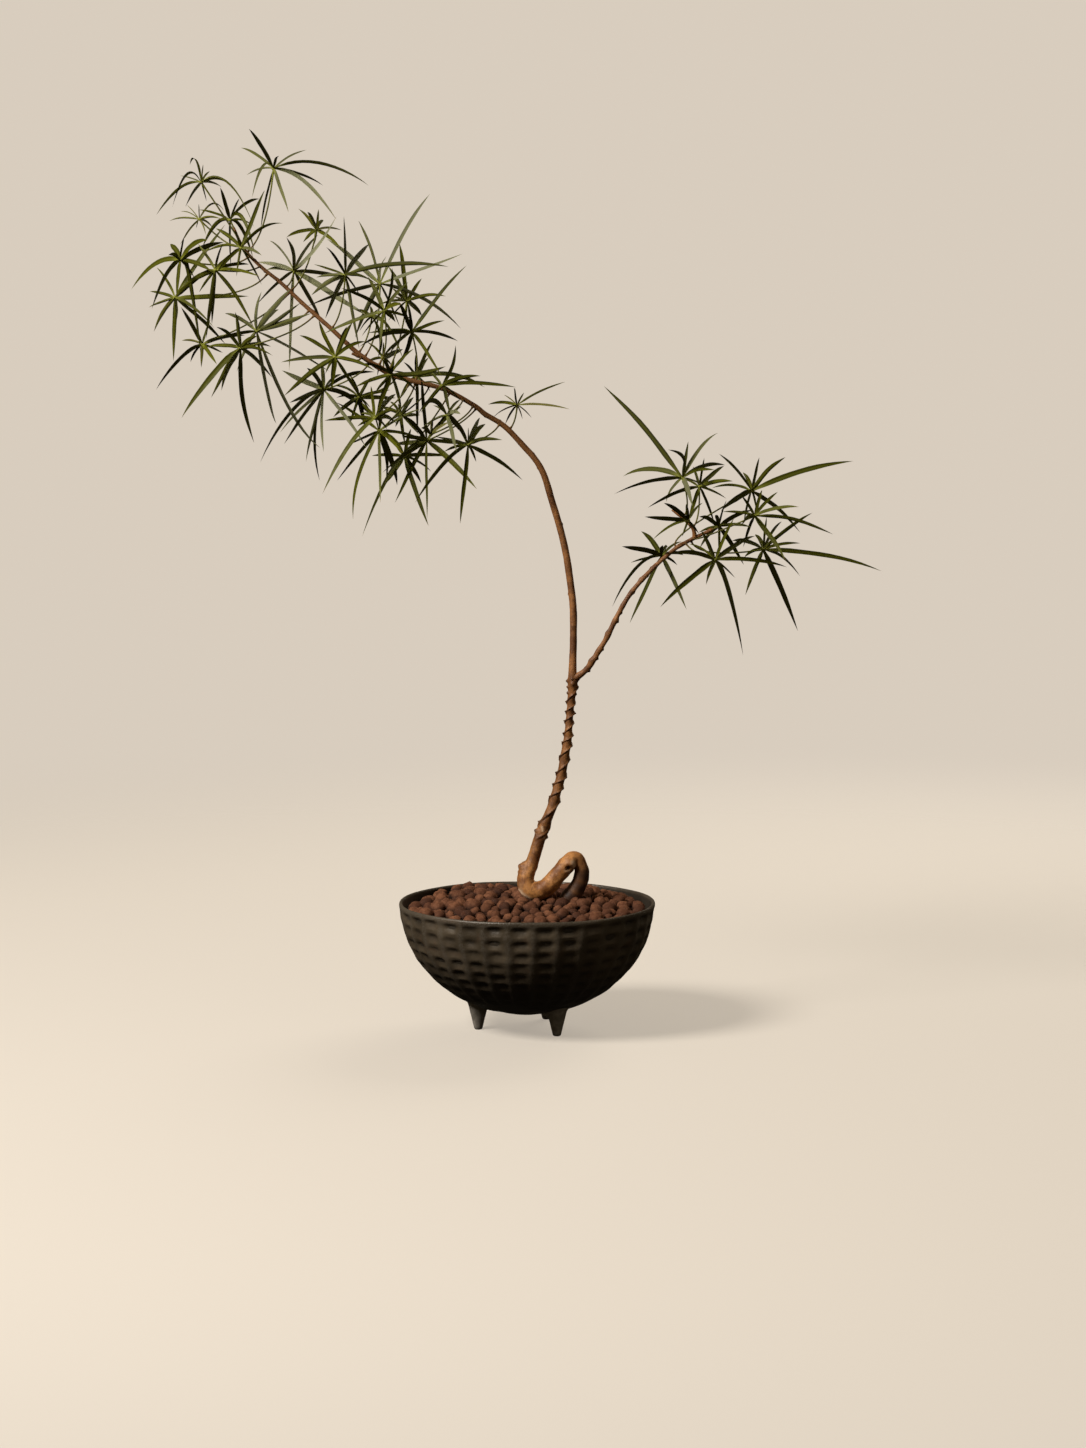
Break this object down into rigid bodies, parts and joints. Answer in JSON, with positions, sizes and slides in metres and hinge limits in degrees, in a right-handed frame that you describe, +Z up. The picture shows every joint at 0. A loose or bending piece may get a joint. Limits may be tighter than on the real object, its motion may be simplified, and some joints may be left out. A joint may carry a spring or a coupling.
{
  "type": "potted queensland bottle tree",
  "caption": "Slender potted bottle tree with a looped root, bent stem and narrow fingered leaves, in a dimpled metal bowl on short cone feet.",
  "frame": {"origin": "on the surface that the feet stand on, under the centre of the whole plant's width, in the plane of the bowl's axis", "axes": "+Z up, -Y towards the front view, +X to the right in that view; the stem bends over towards -X"},
  "size_m": [0.9422, 0.322, 1.1181],
  "materials": {
    "bowl_metal": "matte",
    "foot_metal": "satin",
    "soil": "matte",
    "pebbles": "matte",
    "wood": "satin",
    "leaf": "satin"
  },
  "bodies": {
    "root": {"bowl": "bowl_metal", "foot_left": "foot_metal", "foot_right": "foot_metal", "foot_back": "foot_metal", "soil": "soil", "pebbles": "pebbles", "trunk": "wood", "leaf_left_01": "leaf", "leaf_left_02": "leaf", "leaf_left_03": "leaf", "leaf_left_04": "leaf", "leaf_left_05": "leaf", "leaf_left_06": "leaf", "leaf_left_07": "leaf", "leaf_left_08": "leaf", "leaf_left_09": "leaf", "leaf_left_10": "leaf", "leaf_left_11": "leaf", "leaf_left_12": "leaf", "leaf_left_13": "leaf", "leaf_left_14": "leaf", "leaf_left_15": "leaf", "leaf_left_16": "leaf", "leaf_left_17": "leaf", "leaf_left_18": "leaf", "leaf_left_19": "leaf", "leaf_left_20": "leaf", "leaf_left_21": "leaf", "leaf_left_22": "leaf", "leaf_left_23": "leaf", "leaf_left_24": "leaf", "leaf_left_25": "leaf", "leaf_left_26": "leaf", "leaf_left_27": "leaf", "leaf_left_28": "leaf", "leaf_left_29": "leaf", "leaf_left_30": "leaf", "leaf_left_31": "leaf", "leaf_left_32": "leaf", "leaf_left_33": "leaf", "leaf_left_34": "leaf", "leaf_left_35": "leaf", "leaf_right_01": "leaf", "leaf_right_02": "leaf", "leaf_right_03": "leaf", "leaf_right_04": "leaf", "leaf_right_05": "leaf", "leaf_right_06": "leaf", "leaf_right_07": "leaf", "leaf_right_08": "leaf", "leaf_right_09": "leaf"}
  },
  "joints": []
}
